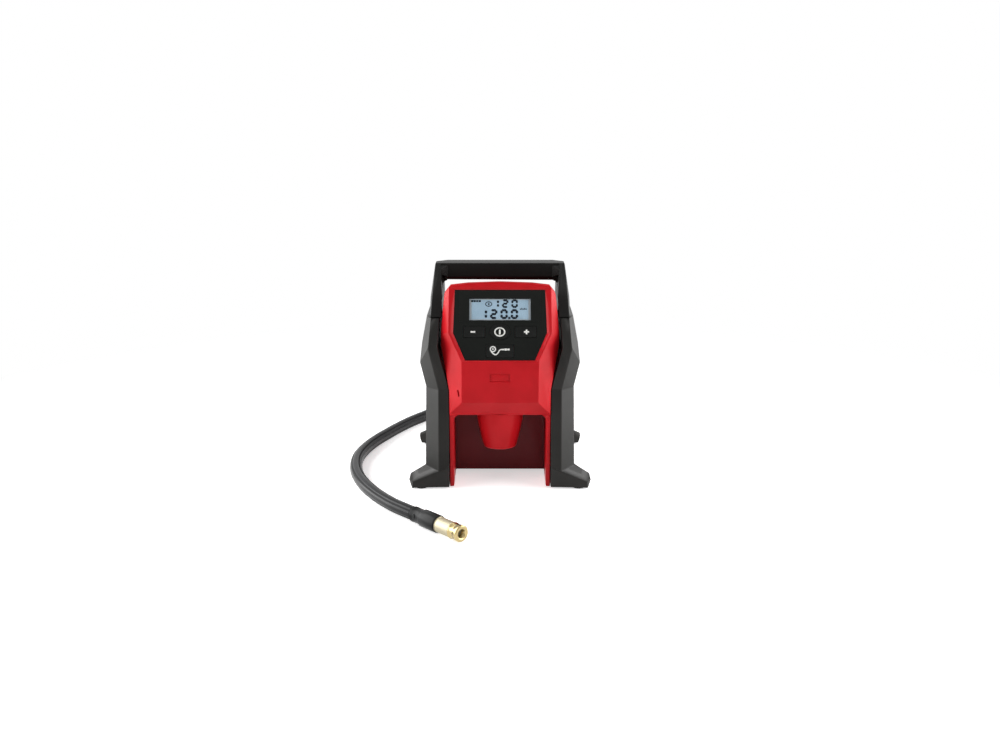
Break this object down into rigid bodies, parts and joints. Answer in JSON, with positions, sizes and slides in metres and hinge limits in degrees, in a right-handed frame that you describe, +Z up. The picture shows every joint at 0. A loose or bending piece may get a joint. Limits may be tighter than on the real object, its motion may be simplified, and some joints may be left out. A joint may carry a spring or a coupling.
{
  "type": "portable tire inflator",
  "caption": "Portable tire inflator: red housing with tilted display, black side frames with splayed feet and carrying handle, rubber hose with brass screw-on chuck.",
  "frame": {"origin": "on the floor, at the middle of the footprint of the body and feet, without the hose", "axes": "+Z up, the display faces -Y, +X to the right of someone who looks at the display"},
  "size_m": [0.2368, 0.4194, 0.2068],
  "materials": {
    "red_shell": "satin moulded glass-filled nylon",
    "black_frame": "fine moulded texture",
    "black_grip": "soft moulded texture",
    "fascia": "smooth",
    "lens": "clear window",
    "lcd": "backlit display",
    "key_rubber": "smooth key",
    "black_rubber": "smooth rubber",
    "brass_satin": "satin",
    "steel_plain": "plain",
    "alloy_cast": "cast",
    "circuit_green": "solder mask",
    "magnet_grey": "sintered",
    "winding": "laminations and windings",
    "clear_tube": "translucent tube"
  },
  "bodies": {
    "root": {"front_housing": "red_shell", "rear_housing": "red_shell", "battery_receptacle": "red_shell", "terminal_block": "black_frame", "battery_terminals": "brass_satin", "display_panel": "fascia", "display_lens": "lens", "lcd_module": "lcd", "keypad_mat": "key_rubber", "tactile_switches": "steel_plain", "display_board": "circuit_green", "control_board": "circuit_green", "badge_plate": "red_shell", "left_frame": "black_frame", "right_frame": "black_frame", "handle": "black_grip", "foot_pads": "black_rubber", "rear_grille": "black_frame", "hose_outlet": "black_rubber", "hose": "black_rubber", "hose_sleeve": "black_rubber", "chuck_body": "brass_satin", "chuck_seal": "black_rubber", "motor_can": "steel_plain", "motor_magnets": "magnet_grey", "motor_end_bell": "black_frame", "gear_bracket": "alloy_cast", "crank_bearing": "steel_plain", "cylinder": "alloy_cast", "cylinder_head": "alloy_cast", "valve_plate": "steel_plain", "reed_valve": "steel_plain", "air_tube": "clear_tube", "pressure_sensor": "black_frame", "motor_screws": "steel_plain", "cylinder_screws": "steel_plain", "housing_screws": "steel_plain", "frame_screws": "steel_plain", "handle_screws": "steel_plain"},
    "minus_key": {"button_minus": "key_rubber"},
    "plus_key": {"button_plus": "key_rubber"},
    "power_key": {"button_power": "key_rubber"},
    "mode_key": {"button_mode": "key_rubber"},
    "crank": {"crank_gear": "steel_plain", "crank_shaft": "steel_plain"},
    "motor_rotor": {"rotor": "winding", "pinion": "steel_plain", "cooling_fan": "black_frame"},
    "pump_piston": {"piston": "alloy_cast", "piston_seal": "black_rubber", "wrist_pin": "steel_plain"},
    "connecting_rod": {"piston_rod": "alloy_cast"},
    "collar": {"chuck_collar": "brass_satin"}
  },
  "joints": [
    {"name": "minus_press", "type": "slide", "parent": "root", "child": "minus_key", "axis": [0, 0.8926, -0.4509], "range_m": [0, 0.0008], "stiffness_N_per_m": 400, "springref_m": -0.0004},
    {"name": "plus_press", "type": "slide", "parent": "root", "child": "plus_key", "axis": [0, 0.8926, -0.4509], "range_m": [0, 0.0008], "stiffness_N_per_m": 400, "springref_m": -0.0004},
    {"name": "power_press", "type": "slide", "parent": "root", "child": "power_key", "axis": [0, 0.8926, -0.4509], "range_m": [0, 0.0008], "stiffness_N_per_m": 400, "springref_m": -0.0004},
    {"name": "mode_press", "type": "slide", "parent": "root", "child": "mode_key", "axis": [0, 0.8926, -0.4509], "range_m": [0, 0.0008], "stiffness_N_per_m": 400, "springref_m": -0.0004},
    {"name": "crank_spin", "type": "hinge", "parent": "root", "child": "crank", "pos_m": [0.007, 0.0185, 0.07], "axis": [1, 0, 0], "continuous": true},
    {"name": "rotor_spin", "type": "hinge", "parent": "root", "child": "motor_rotor", "pos_m": [0.007, 0.0185, 0.04], "axis": [1, 0, 0], "continuous": true},
    {"name": "piston_stroke", "type": "slide", "parent": "root", "child": "pump_piston", "axis": [0, 0, 1], "range_m": [0, 0.014]},
    {"name": "rod_swing", "type": "hinge", "parent": "pump_piston", "child": "connecting_rod", "pos_m": [0.018, 0.0185, 0.09892], "axis": [1, 0, 0], "range_deg": [-11.2, 11.2]},
    {"name": "collar_spin", "type": "hinge", "parent": "root", "child": "collar", "pos_m": [-0.03953, -0.20321, 0.0079], "axis": [0.6756, -0.7373, 0], "continuous": true}
  ],
  "couplings": [
    {"joint": "rotor_spin", "follows": "crank_spin", "ratio": -3}
  ]
}
